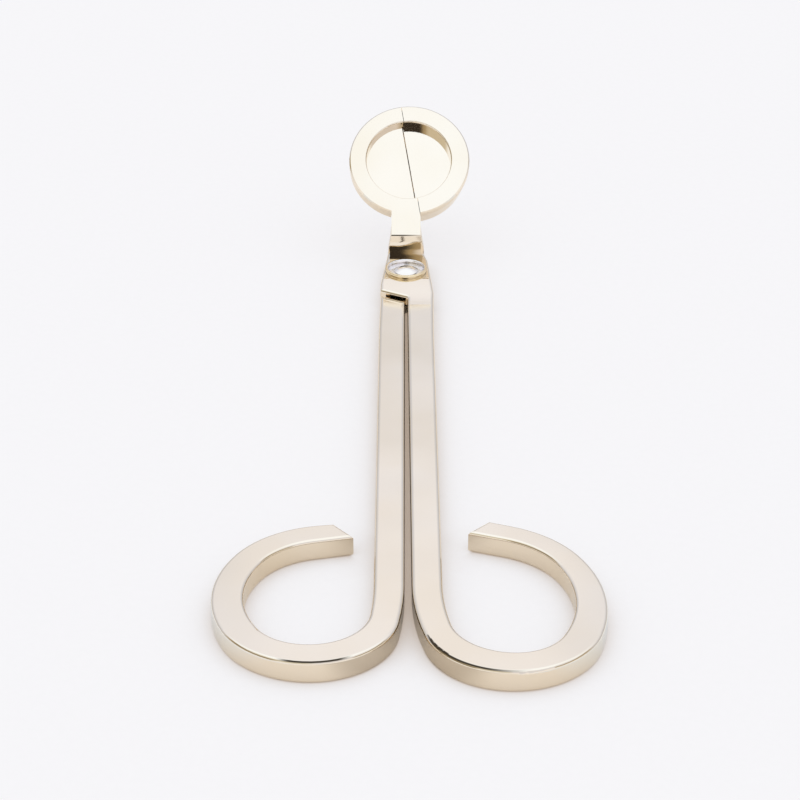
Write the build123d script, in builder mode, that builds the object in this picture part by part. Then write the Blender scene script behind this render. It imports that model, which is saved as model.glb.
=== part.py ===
from build123d import *
from math import asin, cos, degrees, radians, tan
import os

# A candle wick trimmer in millimetres: two crossing cast levers on one pivot, each a handle
# loop, a flat shank, a half-lap, a cranked neck and one half of the round cutting head.
# The origin is on the pivot's axis, in the plane that the trimmer lies on. +Z is up, +Y runs
# along the trimmer towards its head and +X is to the right with the head pointing away.

# Handles: a flat bar, bent into a loop that stays open at its tip
bar_width = 5.0
bar_thick = 3.9
bar_round = 0.6
shank_gap = 0.44
shank_spread = 0.35
shank_length = 118.0
left_outer_radii = [75.7, 14.1, 16.0, 25.9, 18.6]
left_outer_turns = [8.6, 96.8, 50.3, 53.2, 52.9]
left_outer_run = 2.4
left_inner_radii = [85.9, 9.6, 9.4, 20.4, 13.1]
left_inner_turns = [6.1, 101.8, 42.7, 57.4, 48.7]
left_inner_run = 6.6
right_outer_radii = [59.5, 14.2, 15.5, 30.8, 20.7]
right_outer_turns = [14.8, 101.2, 46.3, 46.0, 41.0]
right_outer_run = 3.85
right_inner_radii = [59.7, 10.3, 8.5, 25.1, 15.6]
right_inner_turns = [11.4, 72.8, 69.9, 48.6, 47.4]
right_inner_run = 6.0

# Half-lap at the pivot
lap_gap = 0.24
plate_front = 8.4
plate_front_half = 5.1
plate_waist = 5.5
plate_slant = 27.5
shoulder_gap = 1.3
shoulder_run = 2.2
shoulder_curve = 5.0
left_shank_inset = [(0.0, -26.0), (0.2, -12.0), (0.12, -5.5)]
right_shank_inset = [(0.0, -26.0), (-0.18, -9.0), (0.82, 5.4)]
shoulder_slant = 30.6
shoulder_round = 0.35
notch_round = 0.8
wall_gap = 0.1

# Raised boss round the pivot on the upper lever, and the ramp up to it
boss_rise = 0.38
boss_edge = 3.3
boss_round = 6.0
ramp_foot = 14.0
ramp_round = 40.0

# Cranked necks
riser_front = 8.95
riser_height = 4.34
riser_half = 3.65
crank_lip = 0.2
crank_lip_height = 1.8
crank_round = 0.35
neck_half = 2.96
neck_thick = 1.7
under_neck_thick = 2.0
neck_gap = 0.12
head_slope = 41.0
head_reach = 16.87

# Cutting head: a round tray in two halves that meet on a slanted line
head_aside = 0.68
head_radius = 12.35
tray_aside = -0.13
tray_radius = 8.7
rim_round = 0.3
rim_edge = 0.25
left_tray_depth = 1.5
left_rim_depth = 2.8
left_taper = 0.4
left_head_thick = 3.2
right_tray_depth = 2.35
right_rim_depth = 1.4
right_taper = 0.8
right_head_thick = 5.6
seam_slant = 12.0
seam_aside = 0.25
seam_gap = 0.1
blade_edge = 0.25
blade_lip = 1.2
blade_gap = 0.2
under_neck_reach = 15.6

# Pivot
barrel_radius = 1.6
barrel_bore = 1.1
barrel_flange_radius = 3.0
barrel_flange_thick = 0.7
screw_radius = 1.0
screw_dome_radius = 2.35
screw_dome_height = 0.7
screw_rim_thick = 0.1
collar_radius = 4.1
collar_wall = 0.42
collar_floor = 0.5
collar_stand = 0.8
collar_round = 0.12
washer_radius = 3.6
running_gap = 0.05
face_gap = 0.02

os.makedirs("parts", exist_ok=True)

# The two laps share the bar's thickness, less the gap that holds the washer
lap_top = (bar_thick - lap_gap) / 2
lap_bottom = lap_top + lap_gap
boss_top = bar_thick + boss_rise
shank_aside = (bar_width + shank_gap) / 2
shank_outer = shank_aside + bar_width / 2

# The head's top plane starts at the crank's sharp corner and climbs away from the pivot
crank_height = bar_thick + riser_height
climb = tan(radians(head_slope))
lean = cos(radians(head_slope))
head_ahead = riser_front + head_reach * lean
head_height = crank_height + head_reach * climb * lean
head_plane = Plane(
    origin=(head_aside, head_ahead, head_height),
    x_dir=(1, 0, 0),
    z_dir=Vector(0, -climb, 1).normalized(),
)
head_axis = Axis(head_plane.origin, head_plane.z_dir)
head_section = Plane(origin=head_plane.origin, x_dir=head_plane.x_dir, z_dir=-head_plane.y_dir)
tray_middle = head_plane.origin + Vector(tray_aside, 0, 0)
tray_axis = Axis(tray_middle, head_plane.z_dir)
tray_section = Plane(origin=tray_middle, x_dir=head_plane.x_dir, z_dir=-head_plane.y_dir)

# Everything that passes between the necks is round about the pivot, so that they can turn
wall_radius = riser_front + neck_thick
lower_wall_radius = wall_radius + wall_gap
pocket_radius = under_neck_reach + wall_gap
reach = head_ahead + head_radius
lap_reach = 5 * bar_width
seam_plane = Plane(
    origin=(head_aside + seam_aside, head_ahead, 0),
    x_dir=Vector(0, 1, 0).rotate(Axis.Z, seam_slant),
    z_dir=Vector(1, 0, 0).rotate(Axis.Z, seam_slant),
)


# Stands across the top edge of the left half's blade, where the tray's floor meets the seam
blade_way = head_plane.z_dir.cross(seam_plane.z_dir).normalized()
blade_across = blade_way.cross(head_plane.z_dir)
tray_floor = tray_middle - head_plane.z_dir * left_tray_depth
seam_off = (seam_plane.offset(-seam_gap / 2).origin - tray_floor).dot(seam_plane.z_dir)
blade_plane = Plane(
    origin=tray_floor + blade_across * (seam_off / blade_across.dot(seam_plane.z_dir)),
    x_dir=blade_across,
    z_dir=blade_way,
)


def neck_under(radius, drop):
    """Height of the upper neck's underside at this radius, lowered by drop across the slope."""
    return crank_height + (radius - riser_front) * climb - (neck_thick + drop) / lean


def loop_edge(side, start, radii, turns, run):
    """Draws one edge of a handle from its shank round its loop, and returns the tip's corner."""
    point = Vector(side * start, -shank_length)
    heading = Vector(0, -1)
    for radius, turn in zip(radii, turns):
        arc = JernArc(point, heading, radius, side * turn)
        point = arc @ 1
        heading = arc % 1
    tip = Line(point, point + heading * run)
    return tip @ 1


def plate_notch(side):
    """The inner corner where the plate's slanted front meets its own shank."""
    slant = (plate_front_half + shank_gap / 2) * tan(radians(plate_slant))
    return (side * shank_gap / 2, -plate_front - slant)


def handle_outline(side, inner_edge, outer_edge, shank_inset):
    """Draws a lever's flat outline: its loop, its shank and its plate round the pivot."""
    inner_tip = loop_edge(side, shank_outer, *inner_edge)
    outer_tip = loop_edge(side, shank_gap / 2, *outer_edge)
    Line(inner_tip, outer_tip)
    Polyline(
        (side * shank_outer, -shank_length),
        *[(side * (shank_outer - inset), y) for inset, y in shank_inset],
        (side * riser_half, riser_front),
        (side * riser_half, riser_front + neck_thick / 2),
        (-side * riser_half, riser_front + neck_thick / 2),
        (-side * riser_half, riser_front),
        (-side * plate_front_half, -plate_waist),
        (-side * plate_front_half, -plate_front),
        plate_notch(side),
        (side * shank_gap / 2, -shank_length),
    )


def shoulder_plane(side, spread):
    """Stands across the shoulder of a lever turned by spread: its x is ahead and its y is up."""
    shoulder = plate_front + shoulder_gap + plate_front_half * tan(radians(shoulder_slant))
    turn = spread + side * shoulder_slant
    return Plane(
        origin=Vector(0, -shoulder, 0).rotate(Axis.Z, spread),
        x_dir=Vector(0, 1, 0).rotate(Axis.Z, turn),
        z_dir=Vector(1, 0, 0).rotate(Axis.Z, turn),
    )


def lap_section(floor, face):
    """Draws what the lap takes out of a lever, from the shoulder ahead and from floor to face."""
    way = 1 if face > floor else -1
    brow_turn = asin(shoulder_run / shoulder_curve)
    brow = JernArc((-shoulder_run, face), (1, 0), shoulder_curve, -way * degrees(brow_turn))
    Polyline(
        brow @ 1,
        (0, floor),
        (lap_reach, floor),
        (lap_reach, face + way * shoulder_round),
        (-shoulder_run, face + way * shoulder_round),
        brow @ 0,
    )


def head_profile(rim_depth, taper, thick):
    """Draws half of the head's section, solid: its top edge is broken, its wall tapers below."""
    Polyline(
        (0, 0),
        (head_radius - rim_edge, 0),
        (head_radius, -rim_edge),
        (head_radius, -rim_depth),
        (head_radius - taper, -thick),
        (0, -thick),
        close=True,
    )


def tray_profile(depth):
    """Draws half of the tray's hollow, which flares at the rim by a quarter round."""
    flare = tray_radius + rim_round
    wall = Line((tray_radius, -depth), (tray_radius, -rim_round))
    JernArc(wall @ 1, (0, 1), rim_round, -90)
    Polyline((flare, 0), (flare, rim_round), (0, rim_round), (0, -depth), wall @ 0)


def front_outline():
    """Draws the neck as seen from the handles: broad at the lap, narrower up the riser."""
    Polyline(
        (-riser_half, -bar_thick),
        (riser_half, -bar_thick),
        (riser_half, bar_thick),
        (neck_half, crank_height),
        (neck_half, reach),
        (-neck_half, reach),
        (-neck_half, crank_height),
        (-riser_half, bar_thick),
        close=True,
    )


# Upper lever: right handle, upper half of the lap, and the left half of the head
upper_plane = Plane.XY.rotated((0, 0, shank_spread))

with BuildPart() as upper_neck:
    with BuildSketch(Plane.YZ) as upper_neck_side:
        with BuildLine():
            arm = head_reach - tray_radius
            Polyline(
                (riser_front, lap_bottom),
                (riser_front, crank_height - crank_lip_height),
                (riser_front - crank_lip, crank_height - crank_lip * climb),
                (riser_front + arm * lean, crank_height + arm * climb * lean),
                (riser_front + arm * lean, lap_bottom),
                close=True,
            )
        make_face()
        crank = vertices().sort_by_distance((riser_front - crank_lip, crank_height))[0]
        fillet(crank, radius=crank_round)
    extrude(amount=riser_half, both=True)
    with BuildSketch(Plane.XZ):
        with BuildLine():
            front_outline()
        make_face()
    extrude(amount=-reach, mode=Mode.INTERSECT)
    with BuildSketch(Plane.XZ):
        with BuildLine():
            Polyline(
                (wall_radius, 0),
                (wall_radius, neck_under(wall_radius, 0)),
                (reach, neck_under(reach, 0)),
                (reach, 0),
                close=True,
            )
        make_face()
    revolve(axis=Axis.Z, mode=Mode.SUBTRACT)

with BuildPart() as under_pocket:
    with BuildSketch(Plane.XZ):
        with BuildLine():
            Polyline(
                (0, 0),
                (0, neck_under(wall_radius, 0)),
                (wall_radius, neck_under(wall_radius, 0)),
                (pocket_radius, neck_under(pocket_radius, 0)),
                (pocket_radius, 0),
                close=True,
            )
        make_face()
    revolve(axis=Axis.Z)
    with BuildSketch():
        with Locations((-neck_half - wall_gap, 0)):
            Rectangle(reach, reach, align=(Align.MIN, Align.MIN))
    extrude(amount=reach, mode=Mode.INTERSECT)

with BuildPart() as left_head:
    with BuildSketch(head_section):
        with BuildLine():
            head_profile(left_rim_depth, left_taper, left_head_thick)
        make_face()
    revolve(axis=head_axis)
    add(under_pocket.part, mode=Mode.SUBTRACT)
    add(upper_neck.part)
    split(bisect_by=seam_plane.offset(-seam_gap / 2), keep=Keep.BOTTOM)
    with BuildSketch(tray_section):
        with BuildLine():
            tray_profile(left_tray_depth)
        make_face()
    revolve(axis=tray_axis, mode=Mode.SUBTRACT)
    with BuildSketch(blade_plane):
        Rectangle(blade_edge * 2**0.5, blade_edge * 2**0.5, rotation=45)
    extrude(amount=tray_radius - rim_round, both=True, mode=Mode.SUBTRACT)

with BuildPart() as upper_lever:
    with BuildSketch(upper_plane):
        with BuildLine():
            handle_outline(
                1,
                (right_inner_radii, right_inner_turns, right_inner_run),
                (right_outer_radii, right_outer_turns, right_outer_run),
                right_shank_inset,
            )
        make_face()
        fillet(vertices().sort_by_distance(plate_notch(1))[0], radius=notch_round)
    extrude(amount=boss_top)
    with BuildSketch(Plane.YZ):
        with BuildLine():
            Polyline(
                (-2 * shank_length, 0),
                (-2 * shank_length, bar_thick),
                (-ramp_foot, bar_thick),
                (-boss_edge, boss_top),
                (reach, boss_top),
                (reach, 0),
                close=True,
            )
        make_face()
        fillet(vertices().sort_by_distance((-ramp_foot, bar_thick))[0], radius=ramp_round)
        fillet(vertices().sort_by_distance((-boss_edge, boss_top))[0], radius=boss_round)
    extrude(amount=shank_length, both=True, mode=Mode.INTERSECT)
    sides = faces().filter_by(lambda face: abs(face.normal_at().Z) < bar_round)
    fillet(sides.edges().filter_by(Axis.Z, reverse=True), radius=bar_round)
    with BuildSketch(shoulder_plane(1, shank_spread)):
        with BuildLine():
            lap_section(lap_bottom, 0)
        make_face()
        fillet(vertices().sort_by_distance((0, 0))[0], radius=shoulder_round)
    extrude(amount=lap_reach, both=True, mode=Mode.SUBTRACT)
    add(left_head.part)
    with BuildSketch(Plane.XY.offset(boss_top)):
        Circle(collar_radius + face_gap)
    extrude(amount=-collar_floor, mode=Mode.SUBTRACT)
    with BuildSketch():
        Circle(barrel_radius + running_gap)
    extrude(amount=boss_top, mode=Mode.SUBTRACT)

# Lower lever: left handle, lower half of the lap, and the right half of the head
with BuildPart() as lower_neck:
    with BuildSketch(head_section):
        with BuildLine():
            head_profile(right_rim_depth, right_taper, right_head_thick)
        make_face()
    revolve(axis=head_axis)
    with BuildSketch(Plane.XZ):
        with BuildLine():
            Polyline(
                (lower_wall_radius, 0),
                (lower_wall_radius, neck_under(lower_wall_radius, neck_gap)),
                (under_neck_reach, neck_under(under_neck_reach, neck_gap)),
                (under_neck_reach, 0),
                close=True,
            )
        make_face()
    revolve(axis=Axis.Z, mode=Mode.INTERSECT)
    with BuildSketch(Plane.XZ):
        with BuildLine():
            outer_wall = lower_wall_radius + under_neck_thick
            Polyline(
                (0, 0),
                (0, lap_top),
                (lower_wall_radius, lap_top),
                (lower_wall_radius, neck_under(lower_wall_radius, neck_gap)),
                (under_neck_reach, neck_under(under_neck_reach, neck_gap)),
                (under_neck_reach, neck_under(under_neck_reach, neck_gap + under_neck_thick)),
                (outer_wall, neck_under(outer_wall, neck_gap + under_neck_thick)),
                (outer_wall, 0),
                close=True,
            )
        make_face()
    revolve(axis=Axis.Z)
    with BuildSketch(Plane.XZ):
        with BuildLine():
            front_outline()
        make_face()
    extrude(amount=-reach, mode=Mode.INTERSECT)

with BuildPart() as above_lip:
    with BuildSketch(head_plane.offset(-left_head_thick - blade_gap)):
        Rectangle(2 * reach, 2 * reach)
    extrude(amount=reach)
    split(bisect_by=seam_plane.offset(seam_gap / 2), keep=Keep.BOTTOM)

with BuildPart() as right_head:
    with BuildSketch(head_section):
        with BuildLine():
            head_profile(right_rim_depth, right_taper, right_head_thick)
        make_face()
    revolve(axis=head_axis)
    split(bisect_by=seam_plane.offset(-blade_lip), keep=Keep.TOP)
    add(above_lip.part, mode=Mode.SUBTRACT)
    with BuildSketch(tray_section):
        with BuildLine():
            tray_profile(right_tray_depth)
        make_face()
    revolve(axis=tray_axis, mode=Mode.SUBTRACT)

with BuildPart() as lower_lever:
    with BuildSketch():
        with BuildLine():
            handle_outline(
                -1,
                (left_inner_radii, left_inner_turns, left_inner_run),
                (left_outer_radii, left_outer_turns, left_outer_run),
                left_shank_inset,
            )
        make_face()
        fillet(vertices().sort_by_distance(plate_notch(-1))[0], radius=notch_round)
    extrude(amount=bar_thick)
    fillet(faces().filter_by(Axis.Z).edges(), radius=bar_round)
    with BuildSketch(shoulder_plane(-1, 0)):
        with BuildLine():
            lap_section(lap_top, bar_thick)
        make_face()
        fillet(vertices().sort_by_distance((0, bar_thick))[0], radius=shoulder_round)
    extrude(amount=lap_reach, both=True, mode=Mode.SUBTRACT)
    add(lower_neck.part)
    add(right_head.part)
    with BuildSketch():
        Circle(barrel_radius + face_gap)
    extrude(amount=bar_thick, mode=Mode.SUBTRACT)
    with BuildSketch():
        Circle(barrel_flange_radius + face_gap)
    extrude(amount=barrel_flange_thick, mode=Mode.SUBTRACT)

# Pivot: a flanged barrel through both levers, a domed screw in it, and a ring round the screw
head_seat = boss_top + running_gap

with BuildPart() as pivot_barrel:
    with BuildSketch():
        Circle(barrel_flange_radius)
    extrude(amount=barrel_flange_thick)
    with BuildSketch():
        Circle(barrel_radius)
    extrude(amount=head_seat)
    with BuildSketch(Plane.XY.offset(head_seat)):
        Circle(barrel_bore)
    extrude(amount=barrel_flange_thick - head_seat, mode=Mode.SUBTRACT)

with BuildPart() as pivot_screw:
    with BuildSketch(Plane.XZ):
        with BuildLine():
            dome_edge = head_seat + screw_rim_thick
            dome_top = dome_edge + screw_dome_height
            dome_curve = (screw_dome_radius**2 + screw_dome_height**2) / (2 * screw_dome_height)
            Polyline(
                (0, dome_top),
                (0, barrel_flange_thick + running_gap),
                (screw_radius, barrel_flange_thick + running_gap),
                (screw_radius, head_seat),
                (screw_dome_radius, head_seat),
                (screw_dome_radius, dome_edge),
            )
            RadiusArc((0, dome_top), (screw_dome_radius, dome_edge), dome_curve)
        make_face()
    revolve(axis=Axis.Z)

with BuildPart() as pivot_collar:
    with BuildSketch(Plane.XY.offset(boss_top - collar_floor)):
        Circle(collar_radius)
        Circle(barrel_radius + running_gap, mode=Mode.SUBTRACT)
    extrude(amount=collar_floor + collar_stand)
    with BuildSketch(Plane.XY.offset(boss_top)):
        Circle(collar_radius - collar_wall)
    extrude(amount=collar_stand, mode=Mode.SUBTRACT)
    fillet(faces().sort_by(Axis.Z)[-1].edges(), radius=collar_round)

with BuildPart() as thrust_washer:
    with BuildSketch(Plane.XY.offset(lap_top + face_gap)):
        Circle(washer_radius)
        Circle(barrel_radius + running_gap, mode=Mode.SUBTRACT)
    extrude(amount=lap_gap - 2 * face_gap)

pieces = {
    "upper_lever": upper_lever,
    "lower_lever": lower_lever,
    "pivot_barrel": pivot_barrel,
    "pivot_screw": pivot_screw,
    "pivot_collar": pivot_collar,
    "thrust_washer": thrust_washer,
}
for name, piece in pieces.items():
    piece.part.label = name
    export_step(piece.part, "parts/" + name + ".step")
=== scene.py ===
from math import cos, radians, sin

import bpy
from mathutils import Matrix, Vector

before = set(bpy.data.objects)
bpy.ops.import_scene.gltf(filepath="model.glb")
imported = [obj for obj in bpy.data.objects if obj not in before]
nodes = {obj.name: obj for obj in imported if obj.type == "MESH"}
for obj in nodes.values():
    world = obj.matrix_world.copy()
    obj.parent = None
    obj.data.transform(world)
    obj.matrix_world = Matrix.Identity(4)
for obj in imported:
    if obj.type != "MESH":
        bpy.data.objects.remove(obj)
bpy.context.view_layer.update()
print("frame loaded:", sorted(nodes))


# The camera stands before the handles and looks down along the trimmer
cameraView = {
    "eye": (-0.00014, -0.48527, 0.23211),  # metres
    "down": 27.926,  # degrees below level
    "left": 0.126,  # degrees towards -X
    "lens": 119.90,
    "sensor": 36.0,
    "near": 0.01,
    "far": 20.0,
}


def addCamera(view):
    data = bpy.data.cameras.new("camera")
    data.lens = view["lens"]
    data.sensor_width = view["sensor"]
    data.clip_start = view["near"]
    data.clip_end = view["far"]
    eye = bpy.data.objects.new("camera", data)
    down, left = radians(view["down"]), radians(view["left"])
    ahead = Vector((-sin(left) * cos(down), cos(left) * cos(down), -sin(down)))
    turn = ahead.to_track_quat("-Z", "Y").to_matrix().to_4x4()
    eye.matrix_world = Matrix.Translation(view["eye"]) @ turn
    scene.collection.objects.link(eye)
    scene.camera = eye


scene = bpy.context.scene
scene.view_settings.view_transform = "Standard"
addCamera(cameraView)
print("camera set")


# Short names for what every material is built from
def addNode(tree, kind, **values):
    node = tree.nodes.new(kind)
    for name, value in values.items():
        setattr(node, name, value)
    return node


def feed(tree, socket, value):
    # links another node's socket, or writes a constant on this one
    if isinstance(value, bpy.types.NodeSocket):
        tree.links.new(value, socket)
    else:
        socket.default_value = value


def maths(tree, operation, *values):
    node = addNode(tree, "ShaderNodeMath", operation=operation)
    for socket, value in zip(node.inputs, values):
        feed(tree, socket, value)
    return node.outputs[0]


def vectorMaths(tree, operation, *values):
    node = addNode(tree, "ShaderNodeVectorMath", operation=operation)
    for socket, value in zip(node.inputs, values):
        feed(tree, socket, value)
    return node.outputs["Value" if operation in {"DOT_PRODUCT", "LENGTH"} else "Vector"]


def ramp(tree, value, start, end, low=0.0, high=1.0):
    # smooth step from low to high while value goes from start to end
    node = addNode(tree, "ShaderNodeMapRange", interpolation_type="SMOOTHSTEP")
    feed(tree, node.inputs["Value"], value)
    limits = (("From Min", start), ("From Max", end), ("To Min", low), ("To Max", high))
    for name, limit in limits:
        feed(tree, node.inputs[name], limit)
    return node.outputs["Result"]


def spanned(tree, value, span):
    # 1 between the span's two inner values, falling to 0 at the outer ones
    start, full, fading, end = span
    return maths(tree, "MULTIPLY", ramp(tree, value, start, full), ramp(tree, value, end, fading))


def axes(tree, vector):
    split = addNode(tree, "ShaderNodeSeparateXYZ")
    feed(tree, split.inputs[0], vector)
    return split.outputs


def joined(tree, x, y, z):
    node = addNode(tree, "ShaderNodeCombineXYZ")
    for name, value in (("X", x), ("Y", y), ("Z", z)):
        feed(tree, node.inputs[name], value)
    return node.outputs[0]


def flattened(tree, vector):
    # the same vector seen from above
    return vectorMaths(tree, "MULTIPLY", vector, (1.0, 1.0, 0.0))


def blend(tree, share, first, second):
    # first where share is 0, second where it is 1
    node = addNode(tree, "ShaderNodeMix", data_type="RGBA")
    colours = [socket for socket in node.inputs if socket.type == "RGBA"]
    feed(tree, node.inputs["Factor"], share)
    feed(tree, colours[0], first)
    feed(tree, colours[1], second)
    return next(socket for socket in node.outputs if socket.type == "RGBA")


def noise(tree, where, scale=1.0, detail=2.0):
    node = addNode(tree, "ShaderNodeTexNoise")
    feed(tree, node.inputs["Vector"], where)
    feed(tree, node.inputs["Scale"], scale)
    feed(tree, node.inputs["Detail"], detail)
    return node.outputs[0]


def newGroup(name, inputs, outputs):
    # inputs and outputs: (socket name, socket kind, value or None)
    group = bpy.data.node_groups.new(name, "ShaderNodeTree")
    for way, sockets in (("INPUT", inputs), ("OUTPUT", outputs)):
        for label, kind, value in sockets:
            socket = group.interface.new_socket(label, in_out=way, socket_type="NodeSocket" + kind)
            if value is not None:
                socket.default_value = value
    return group, addNode(group, "NodeGroupInput").outputs, addNode(group, "NodeGroupOutput").inputs


def useGroup(tree, group, **values):
    node = addNode(tree, "ShaderNodeGroup", node_tree=group)
    for name, value in values.items():
        feed(tree, node.inputs[name], value)
    return node.outputs


def newMaterial(name):
    material = bpy.data.materials.new(name)
    material.use_nodes = True
    material.node_tree.nodes.clear()
    return material, material.node_tree


# Pale paper floor; lengths in metres
floorLook = {
    "size": 6.0,
    "drop": 0.00002,
    "colour": (0.933, 0.927, 0.949),
    "fleck": 0.006,  # how much darker the paper's flecks are
    "fleckScale": 700.0,
    "fleckRange": (0.3, 0.7),
    "ownGlow": 0.62,  # share of the floor's seen brightness that only close contact darkens
    "contactReach": 0.0075,
    "contactSamples": 8,
    "contactOpen": 0.9,  # openness above which contact no longer shows
    # painted contact shade: the warm dark colour the floor's glow takes where the metal stands
    # close
    "paintedContactShade": (0.52, 0.39, 0.28, 1.0),
    "mirrored": (0.90, 0.86, 0.82, 1.0),  # painted reflection: the floor as the metal mirrors it, darker and warmer than the paper
    "mirroredAside": (0.86, 0.91, 0.99, 1.0),  # the same beside the loops
    "asideFrom": (0.024, 0.036),  # distances from the trimmer's middle line
    "asideAhead": (-0.040, -0.080),
    "between": (0.70, 0.68, 0.66),  # painted shade in that reflection: what is left of it between the shanks
    "betweenReach": (0.0130, 0.0040),
    "betweenAhead": (-0.030, -0.060),
}


def addFloor(look):
    half, level = look["size"] / 2, -look["drop"]
    mesh = bpy.data.meshes.new("floor")
    corners = [(-half, -half), (half, -half), (half, half), (-half, half)]
    mesh.from_pydata([(x, y, level) for x, y in corners], [], [(0, 1, 2, 3)])
    floor = bpy.data.objects.new("floor", mesh)
    scene.collection.objects.link(floor)
    material, tree = newMaterial("floorPaper")
    where = addNode(tree, "ShaderNodeTexCoord").outputs["Object"]
    flecks = noise(tree, where, look["fleckScale"])
    fleck = ramp(tree, flecks, *look["fleckRange"], 1.0 - look["fleck"], 1.0)
    colour = vectorMaths(tree, "MULTIPLY", look["colour"], fleck)
    x, y = axes(tree, where)[:2]
    off = maths(tree, "ABSOLUTE", x)
    # painted reflection: for mirrored rays the floor is drawn cooler beside the loops and darker
    # between the shanks
    aside = ramp(tree, off, *look["asideFrom"])
    aside = maths(tree, "MULTIPLY", aside, ramp(tree, y, *look["asideAhead"]))
    mirrored = blend(tree, aside, look["mirrored"], look["mirroredAside"])
    between = ramp(tree, off, *look["betweenReach"])
    between = maths(tree, "MULTIPLY", between, ramp(tree, y, *look["betweenAhead"]))
    shaded = vectorMaths(tree, "MULTIPLY", mirrored, look["between"])
    mirrored = blend(tree, between, mirrored, shaded)
    path = addNode(tree, "ShaderNodeLightPath").outputs
    paper = addNode(tree, "ShaderNodeBsdfDiffuse")
    feed(tree, paper.inputs["Color"], blend(tree, path["Is Glossy Ray"], colour, mirrored))
    # painted contact shade: the floor's own glow is drawn darker, tinted warm, where the metal
    # stands close to it
    contact = addNode(tree, "ShaderNodeAmbientOcclusion", samples=look["contactSamples"])
    feed(tree, contact.inputs["Distance"], look["contactReach"])
    unshaded = ramp(tree, contact.outputs["AO"], 0.0, look["contactOpen"])
    glow = addNode(tree, "ShaderNodeEmission")
    feed(tree, glow.inputs["Color"], blend(tree, unshaded, look["paintedContactShade"], colour))
    mix = addNode(tree, "ShaderNodeMixShader")
    feed(tree, mix.inputs[0], maths(tree, "MULTIPLY", path["Is Camera Ray"], look["ownGlow"]))
    feed(tree, mix.inputs[1], paper.outputs[0])
    feed(tree, mix.inputs[2], glow.outputs[0])
    feed(tree, addNode(tree, "ShaderNodeOutputMaterial").inputs[0], mix.outputs[0])
    mesh.materials.append(material)


addFloor(floorLook)
print("floor laid")


# Studio light. The lamps are big soft panels all round, so the whole studio is one world
# shader. Matt surfaces get an even white; only mirrored rays see the panels and the gaps
# between them. Pairs are parts of the unit direction along X, Y or Z, so a pair of heights
# holds sines; the gaps' sides, reaches and heights are degrees.
studio = {
    "even": (1.0, 1.0, 1.0, 1.0),
    "low": (0.74, 0.765, 0.85, 1.0),  # behind the trimmer, near the horizon
    "middle": (0.97, 0.99, 1.08, 1.0),
    "overhead": (1.09, 1.18, 1.30, 1.0),
    "lowHeights": (0.36, 0.56),  # where low gives way to middle
    "highHeights": (0.55, 0.85),
    "asideFall": (0.90, 0.91, 0.93),  # what is left of that away from the middle
    "asideReach": (0.045, 0.085),  # along X
    "front": (0.98, 0.98, 1.0, 1.0),  # the camera's side
    "frontLeft": (0.70, 0.67, 0.57, 1.0),  # the same side higher up, towards -X and +X
    "frontRight": (0.80, 0.81, 0.88, 1.0),
    "frontSides": (-0.15, 0.15),  # along X
    "frontHeights": (0.25, 0.50),
    "frontHighHeights": (0.80, 0.91),
    "frontToBehind": (-0.3, 0.5),  # along Y
    "haze": (0.43, 0.36, 0.235, 1.0),  # the soft edge of a gap
    "gap": (0.040, 0.034, 0.030, 1.0),
    "gapSide": -5.0,  # azimuth: 0 is the camera's side, negative is towards -X
    "gapReach": (7.0, 24.0),
    "gapHeights": (12.0, 16.0, 50.0, 60.0),
    "gapDepth": (2.2, 2.8),  # seen only by rays mirrored at least twice, in inside corners
    "hazeShare": 0.5,  # darkness up to which a gap is only haze
    # thinner gaps on either side: azimuths where they start and end, heights, and strength
    "leftStrip": ((-40.0, -50.0, -100.0, -125.0), (10.0, 16.0, 36.0, 46.0), 0.70),
    "rightStrip": ((50.0, 62.0, 100.0, 120.0), (12.0, 18.0, 32.0, 40.0), 0.55),
    "horizon": (0.55, 0.53, 0.52, 1.0),  # the room beyond the floor, behind the trimmer
    "horizonHeights": (0.10, 0.22),
}


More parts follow.
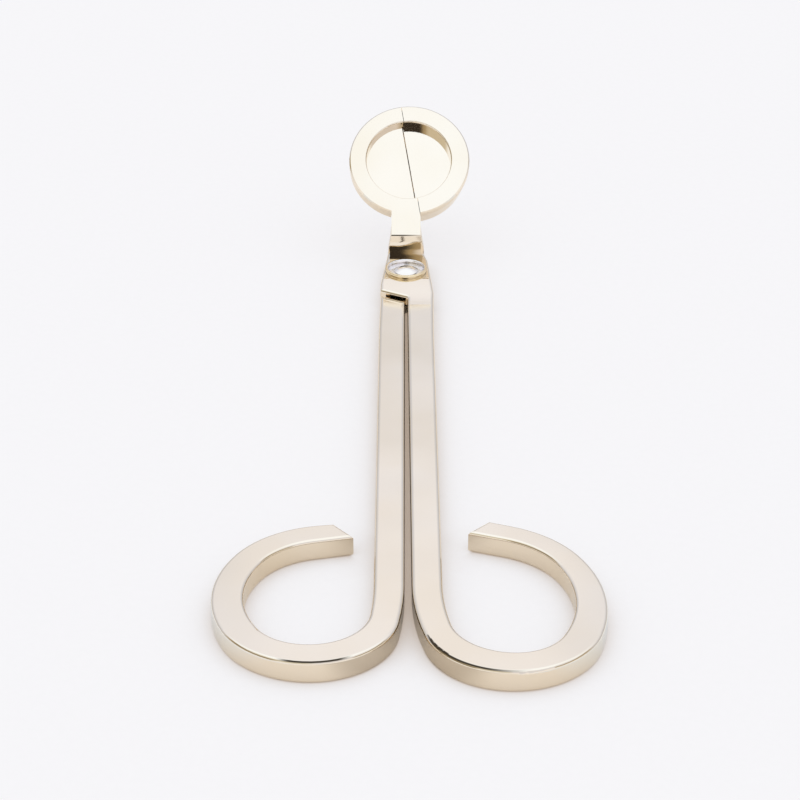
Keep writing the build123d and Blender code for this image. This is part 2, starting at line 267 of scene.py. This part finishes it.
def addStudio(look):
    world = bpy.data.worlds.new("studio")
    scene.world = world
    world.use_nodes = True
    tree = world.node_tree
    tree.nodes.clear()
    x, y, z = axes(tree, addNode(tree, "ShaderNodeTexCoord").outputs["Generated"])
    behind = blend(tree, ramp(tree, z, *look["lowHeights"]), look["low"], look["middle"])
    behind = blend(tree, ramp(tree, z, *look["horizonHeights"]), look["horizon"], behind)
    fallen = vectorMaths(tree, "MULTIPLY", behind, look["asideFall"])
    aside = ramp(tree, maths(tree, "ABSOLUTE", x), *look["asideReach"])
    behind = blend(tree, aside, behind, fallen)
    behind = blend(tree, ramp(tree, z, *look["highHeights"]), behind, look["overhead"])
    front = blend(tree, ramp(tree, x, *look["frontSides"]), look["frontLeft"], look["frontRight"])
    front = blend(tree, ramp(tree, z, *look["frontHeights"]), look["front"], front)
    front = blend(tree, ramp(tree, z, *look["frontHighHeights"]), front, look["overhead"])
    panels = blend(tree, ramp(tree, y, *look["frontToBehind"]), front, behind)
    azimuth = maths(tree, "ARCTAN2", x, maths(tree, "MULTIPLY", y, -1.0))
    path = addNode(tree, "ShaderNodeLightPath").outputs
    off = maths(tree, "ABSOLUTE", maths(tree, "SUBTRACT", azimuth, radians(look["gapSide"])))
    inner, outer = [radians(reach) for reach in look["gapReach"]]
    high = spanned(tree, z, [sin(radians(height)) for height in look["gapHeights"]])
    dark = maths(tree, "MULTIPLY", ramp(tree, off, outer, inner), high)
    dark = maths(tree, "MULTIPLY", dark, ramp(tree, path["Ray Depth"], *look["gapDepth"]))
    for sides, heights, strength in (look["leftStrip"], look["rightStrip"]):
        wide = spanned(tree, azimuth, [radians(side) for side in sides])
        high = spanned(tree, z, [sin(radians(height)) for height in heights])
        strip = maths(tree, "MULTIPLY", maths(tree, "MULTIPLY", wide, high), strength)
        dark = maths(tree, "MAXIMUM", dark, strip)
    panels = blend(tree, ramp(tree, dark, 0.0, look["hazeShare"]), panels, look["haze"])
    panels = blend(tree, ramp(tree, dark, look["hazeShare"], 1.0), panels, look["gap"])
    back = addNode(tree, "ShaderNodeBackground")
    feed(tree, back.inputs["Color"], blend(tree, path["Is Glossy Ray"], look["even"], panels))
    feed(tree, addNode(tree, "ShaderNodeOutputWorld").inputs[0], back.outputs[0])


addStudio(studio)
print("studio lit")


# Everything that any plated or bare metal skin has: slow hollows left by polishing, a fine
# grain along the bar, a few hairline scratches, and patches where the colour is thinner.
skinPattern = {
    "grainScale": (4200.0, 500.0, 4200.0),  # per metre
    "slant": (0.35, 0.35, 0.0),  # how far the first set of hairlines leans over
    "firstScale": (2600.0, 60.0, 2600.0),
    "firstCrests": (0.66, 0.72),
    "secondScale": (90.0, 3100.0, 900.0),
    "secondCrests": (0.68, 0.74),
    "hairlineRoughness": 0.25,
    "thinRange": (0.35, 0.7),
    "roughRange": (0.3, 0.75, 0.75, 1.35),
}


def makeSkinGroup(look):
    group, given, result = newGroup(
        "polishedSkin",
        [
            ("Place", "Vector", None),
            ("Normal", "Vector", None),
            ("Colour", "Color", (0.9, 0.8, 0.65, 1.0)),
            ("Thin Colour", "Color", (0.9, 0.85, 0.75, 1.0)),
            ("Patch Size", "Float", 0.02),
            ("Roughness", "Float", 0.06),
            ("Hollow Size", "Float", 0.012),
            ("Hollow Depth", "Float", 0.00001),
            ("Grain Depth", "Float", 0.0000001),
            ("Scratch Share", "Float", 0.1),
        ],
        [("Colour", "Color", None), ("Roughness", "Float", None), ("Normal", "Vector", None)],
    )
    place = given["Place"]
    patchPlace = vectorMaths(group, "DIVIDE", place, spread(group, given["Patch Size"]))
    patch = noise(group, patchPlace, detail=3.0)
    hollowPlace = vectorMaths(group, "DIVIDE", place, spread(group, given["Hollow Size"]))
    hollow = noise(group, hollowPlace, detail=1.0)
    grain = noise(group, vectorMaths(group, "MULTIPLY", place, look["grainScale"]))
    # two crossing sets of stretched noise, of which only the crests are left
    lean = vectorMaths(group, "MULTIPLY", turned(group, place), look["slant"])
    slanted = vectorMaths(group, "ADD", place, lean)
    first = noise(group, vectorMaths(group, "MULTIPLY", slanted, look["firstScale"]), detail=1.0)
    second = noise(group, vectorMaths(group, "MULTIPLY", place, look["secondScale"]), detail=1.0)
    first = ramp(group, first, *look["firstCrests"])
    second = ramp(group, second, *look["secondCrests"])
    hairline = maths(group, "MAXIMUM", first, second)
    hairline = maths(group, "MULTIPLY", hairline, given["Scratch Share"])
    thin = ramp(group, patch, *look["thinRange"])
    feed(group, result["Colour"], blend(group, thin, given["Colour"], given["Thin Colour"]))
    rough = maths(group, "MULTIPLY", given["Roughness"], ramp(group, patch, *look["roughRange"]))
    scratched = maths(group, "MULTIPLY", hairline, look["hairlineRoughness"])
    feed(group, result["Roughness"], maths(group, "ADD", rough, scratched))
    relief = maths(group, "MULTIPLY", hollow, given["Hollow Depth"])
    relief = maths(group, "ADD", relief, maths(group, "MULTIPLY", grain, given["Grain Depth"]))
    bump = addNode(group, "ShaderNodeBump")
    feed(group, bump.inputs["Distance"], 1.0)
    feed(group, bump.inputs["Height"], relief)
    feed(group, bump.inputs["Normal"], given["Normal"])
    feed(group, result["Normal"], bump.outputs[0])
    return group


def spread(tree, value):
    return joined(tree, value, value, value)


def turned(tree, vector):
    # swaps x and y, and drops z
    x, y = axes(tree, vector)[:2]
    return joined(tree, y, x, 0.0)


skinGroup = makeSkinGroup(skinPattern)


def makeSkin(name, look):
    material, tree = newMaterial(name)
    place = addNode(tree, "ShaderNodeTexCoord").outputs["Object"]
    normal = addNode(tree, "ShaderNodeNewGeometry").outputs["Normal"]
    if "crown" in look:
        normal = crowned(tree, place, normal, look["crown"])
        normal = pillowed(tree, place, normal, look["pillow"])
    if "round" in look:
        normal = rounded(tree, place, normal, look["round"])
    skin = useGroup(tree, skinGroup, Place=place, Normal=normal, **look["skin"])
    surface = addNode(tree, "ShaderNodeBsdfPrincipled")
    colour = skin["Colour"]
    # painted dark reflections along some rounded edges
    for edge in look.get("edges", []):
        colour = blend(tree, paintedReflectionLine(tree, place, edge), colour, edge["colour"])
    # the collar's bore is drawn paler and cooler than its outside
    if "inside" in look:
        out = vectorMaths(tree, "LENGTH", flattened(tree, place))
        within = ramp(tree, out, *look["inside"]["from"])
        colour = blend(tree, within, colour, look["inside"]["colour"])
    feed(tree, surface.inputs["Base Color"], colour)
    feed(tree, surface.inputs["Metallic"], 1.0)
    feed(tree, surface.inputs["Roughness"], skin["Roughness"])
    feed(tree, surface.inputs["Normal"], skin["Normal"])
    feed(tree, addNode(tree, "ShaderNodeOutputMaterial").inputs[0], surface.outputs[0])
    return material


# The next four change how a face mirrors, not its shape
def leaned(tree, normal, x, y, z):
    # adds a lean, given along the piece's own axes, to the world normal
    turn = addNode(tree, "ShaderNodeVectorTransform", vector_type="VECTOR")
    turn.convert_from = "OBJECT"
    turn.convert_to = "WORLD"
    feed(tree, turn.inputs[0], joined(tree, x, y, z))
    return vectorMaths(tree, "NORMALIZE", vectorMaths(tree, "ADD", normal, turn.outputs[0]))


def crowned(tree, place, normal, look):
    # the riser is polished slightly round from side to side, and its brow faces a bit upwards
    x, y, z = axes(tree, place)
    on = maths(tree, "MULTIPLY", ramp(tree, y, *look["ahead"]), ramp(tree, z, *look["top"]))
    aside = maths(tree, "MULTIPLY", maths(tree, "SUBTRACT", x, look["plumb"]), look["bend"])
    aside = maths(tree, "MULTIPLY", aside, ramp(tree, z, *look["brow"], 1.0, look["browBend"]))
    hung = maths(tree, "ADD", z, ramp(tree, x, *look["lobeFrom"], 0.0, look["lobe"]))
    brow = ramp(tree, hung, *look["brow"], 0.0, look["browLean"])
    aside = maths(tree, "MULTIPLY", aside, on)
    return leaned(tree, normal, aside, 0.0, maths(tree, "MULTIPLY", brow, on))


def rounded(tree, place, normal, look):
    # the ring's walls are polished round from bottom to top
    z = axes(tree, place)["Z"]
    out = vectorMaths(tree, "LENGTH", flattened(tree, place))
    foot = ramp(tree, out, *look["outer"], look["innerFoot"], look["outerFoot"])
    rise = maths(tree, "SUBTRACT", look["brow"], foot)
    rise = maths(tree, "MULTIPLY", rise, ramp(tree, z, *look["heights"]))
    lean = maths(tree, "MULTIPLY", maths(tree, "ADD", foot, rise), ramp(tree, out, *look["wall"]))
    return leaned(tree, normal, 0.0, 0.0, lean)


def pillowed(tree, place, normal, look):
    # the plate's top is polished away towards the handles
    y, z = axes(tree, place)[1:]
    on = maths(tree, "MULTIPLY", spanned(tree, y, look["ahead"]), ramp(tree, z, *look["top"]))
    return leaned(tree, normal, 0.0, maths(tree, "MULTIPLY", on, look["lean"]), 0.0)


def paintedReflectionLine(tree, place, look):
    # 1 along a short stretch of rounded edge where a dark reflection is painted into the colour
    x, y = axes(tree, place)[:2]
    facing = addNode(tree, "ShaderNodeTexCoord").outputs["Normal"]
    level = axes(tree, vectorMaths(tree, "NORMALIZE", flattened(tree, facing)))["Y"]
    line = spanned(tree, x, look["along"])
    line = maths(tree, "MULTIPLY", line, spanned(tree, y, look["ahead"]))
    line = maths(tree, "MULTIPLY", line, ramp(tree, level, *look["facing"]))
    return maths(tree, "MULTIPLY", line, spanned(tree, axes(tree, facing)["Z"], look["up"]))


# Sizes, depths and places in metres, on the piece's own axes
leverLook = {
    "skin": {
        "Colour": (0.880, 0.775, 0.625, 1.0),
        "Thin Colour": (0.905, 0.815, 0.690, 1.0),
        "Patch Size": 0.025,
        "Roughness": 0.055,
        "Hollow Size": 0.022,
        "Hollow Depth": 0.00025,
        "Grain Depth": 0.0000002,
        "Scratch Share": 0.12,
    },
}
# Painted dark reflections along rounded edges: where they lie along X and Y, and which way the face
# is turned there
paintedEdgeReflection = {
    "colour": (0.06, 0.045, 0.03, 1.0),
    "facing": (-0.25, -0.45),  # towards the handles
}
loopEdge = {
    **paintedEdgeReflection,
    "ahead": (-0.1460, -0.1455, -0.1220, -0.1160),
    "up": (0.62, 0.76, 0.960, 0.992),
}
neckEdge = {
    **paintedEdgeReflection,
    "along": (-0.0042, -0.0038, -0.0010, 0.0036),
    "ahead": (0.0078, 0.0080, 0.0092, 0.0096),
    "up": (0.05, 0.25, 0.700, 0.735),
}
lowerLook = {
    **leverLook,
    "edges": [{**loopEdge, "along": (-0.0205, -0.0180, -0.0105, -0.0080)}],
}
upperLook = {
    **leverLook,
    "edges": [{**loopEdge, "along": (0.0020, 0.0040, 0.0120, 0.0200)}, neckEdge],
    "crown": {
        "plumb": -0.0028,  # where across the riser it faces straight along -Y
        "bend": 17.5,  # radians of lean per metre
        "ahead": (0.0070, 0.0084),
        "top": (0.0082, 0.0079),
        "brow": (0.0062, 0.0068),
        "browLean": 0.30,
        "browBend": 0.3,  # share of the bend that is left on the brow
        "lobe": 0.0008,  # how much lower the brow hangs on one side
        "lobeFrom": (0.0022, -0.0014),
    },
    "pillow": {
        "lean": -0.075,
        "ahead": (-0.0130, -0.0095, -0.0044, -0.0030),
        "top": (0.0037, 0.00385),
    },
}
pivotLook = {
    "skin": {
        "Colour": (0.890, 0.790, 0.650, 1.0),
        "Thin Colour": (0.900, 0.825, 0.720, 1.0),
        "Patch Size": 0.006,
        "Roughness": 0.06,
        "Hollow Size": 0.005,
        "Hollow Depth": 0.000004,
        "Grain Depth": 0.0000002,
        "Scratch Share": 0.2,
    },
}
collarLook = {
    "skin": {
        **pivotLook["skin"],
        "Colour": (0.860, 0.715, 0.480, 1.0),
        "Thin Colour": (0.870, 0.745, 0.540, 1.0),
        "Roughness": 0.20,
    },
    "inside": {"colour": (0.920, 0.890, 0.880, 1.0), "from": (0.0039, 0.0037)},
    "round": {
        "wall": (0.0030, 0.0034),
        "outer": (0.0038, 0.0040),
        "heights": (0.0043, 0.00505),
        "innerFoot": 0.20,
        "outerFoot": -0.30,
        "brow": 0.45,
    },
}
screwLook = {
    "skin": {
        **pivotLook["skin"],
        "Colour": (0.880, 0.820, 0.750, 1.0),
        "Thin Colour": (0.890, 0.840, 0.780, 1.0),
    },
}
washerLook = {
    "skin": {
        "Colour": (0.62, 0.62, 0.62, 1.0),
        "Thin Colour": (0.55, 0.54, 0.52, 1.0),
        "Patch Size": 0.003,
        "Roughness": 0.3,
        "Hollow Size": 0.002,
        "Hollow Depth": 0.000004,
        "Grain Depth": 0.000001,
        "Scratch Share": 0.6,
    },
}

pivotPlating = makeSkin("pivotPlating", pivotLook)
skins = {
    "lower_lever": makeSkin("lowerPlating", lowerLook),
    "upper_lever": makeSkin("upperPlating", upperLook),
    "pivot_barrel": pivotPlating,
    "pivot_screw": makeSkin("screwNickel", screwLook),
    "pivot_collar": makeSkin("collarPlating", collarLook),
    "thrust_washer": makeSkin("washerSteel", washerLook),
}
for name, node in nodes.items():
    for slot in node.material_slots:
        slot.material = skins[name]
print("metal skins on:", len(skins))
